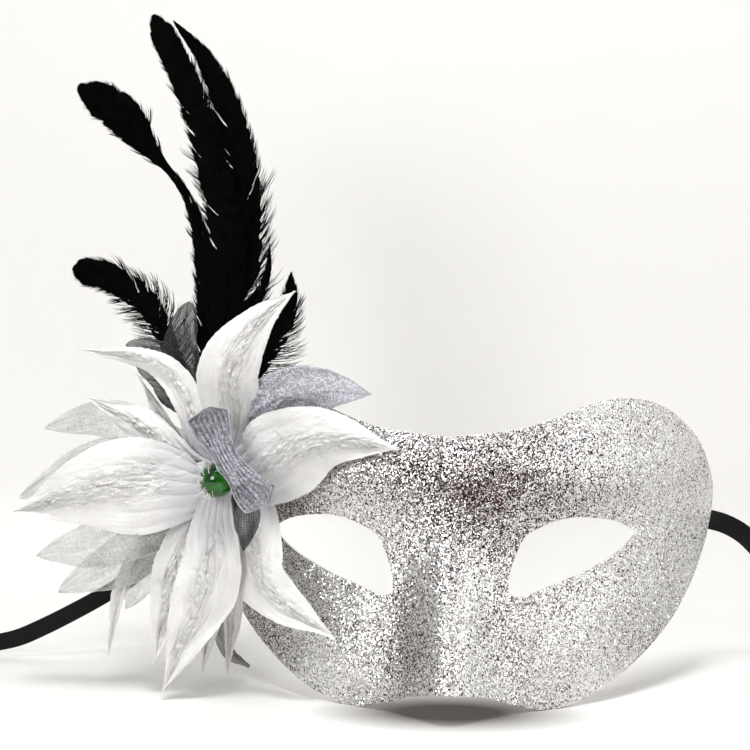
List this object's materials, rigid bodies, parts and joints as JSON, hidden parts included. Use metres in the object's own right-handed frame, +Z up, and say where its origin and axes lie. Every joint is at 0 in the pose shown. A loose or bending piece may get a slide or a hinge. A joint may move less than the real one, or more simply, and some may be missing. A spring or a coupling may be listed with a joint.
{
  "type": "venetian masquerade mask",
  "caption": "Silver glittered half mask with a white fabric flower, black feathers and black tie ribbons at the temples.",
  "frame": {"origin": "the point inside the nose bridge, between the eye holes, where the mask rests on the wearer's nose", "axes": "+Z up as worn, the decorated front faces -Y, +Y points to the wearer's face, +X is the right side seen from the front"},
  "size_m": [0.4456, 0.0978, 0.232],
  "materials": {
    "silver_glitter": "silver glitter flakes over a thin moulded plastic shell",
    "white_satin": "pleated white satin with crushed silver veins",
    "organza": "sheer lavender grey organza",
    "black_organza": "sheer black organza",
    "black_satin": "black satin ribbon",
    "felt": "pressed white felt",
    "stem_wire": "green plastic covered wire",
    "stem_tape": "dark green crepe tape, wound",
    "green_bead": "glossy translucent green",
    "hot_glue": "set hot melt glue",
    "feather": "natural dyed black feather with a slight green sheen"
  },
  "bodies": {
    "root": {"mask_shell": "silver_glitter", "ribbon_tab_left": "felt", "ribbon_tab_right": "felt", "ribbon_left": "black_satin", "ribbon_right": "black_satin", "ribbon_coil_left": "black_satin", "ribbon_coil_right": "black_satin", "coil_tie_left": "black_satin", "coil_tie_right": "black_satin", "flower_backing": "felt", "flower_stem": "stem_wire", "flower_bead": "green_bead", "glue_pad": "hot_glue", "feather_binding": "stem_tape", "satin_petal_top": "white_satin", "satin_petal_right": "white_satin", "satin_petal_left": "white_satin", "satin_petal_curled": "white_satin", "satin_strip": "white_satin", "satin_petal_glittered": "white_satin", "satin_petal_lower_left": "white_satin", "satin_petal_lower_middle": "white_satin", "satin_petal_lower_right": "white_satin", "satin_petal_slip": "white_satin", "satin_petal_back_middle": "white_satin", "satin_petal_back_right": "white_satin", "organza_petal_right": "organza", "organza_petal_left": "organza", "organza_petal_upper_left": "organza", "organza_petal_lower_left": "organza", "organza_petal_lower_tip": "organza", "organza_petal_low": "organza", "organza_fold": "organza", "organza_dark_fold": "black_organza", "black_organza_loop_tall": "black_organza", "black_organza_loop_low": "black_organza", "black_organza_point": "black_organza", "feather_tall_front": "feather", "feather_tall_back": "feather", "feather_paddle": "feather", "feather_left": "feather", "feather_fluffy_right": "feather", "feather_wisp": "feather"}
  },
  "joints": []
}
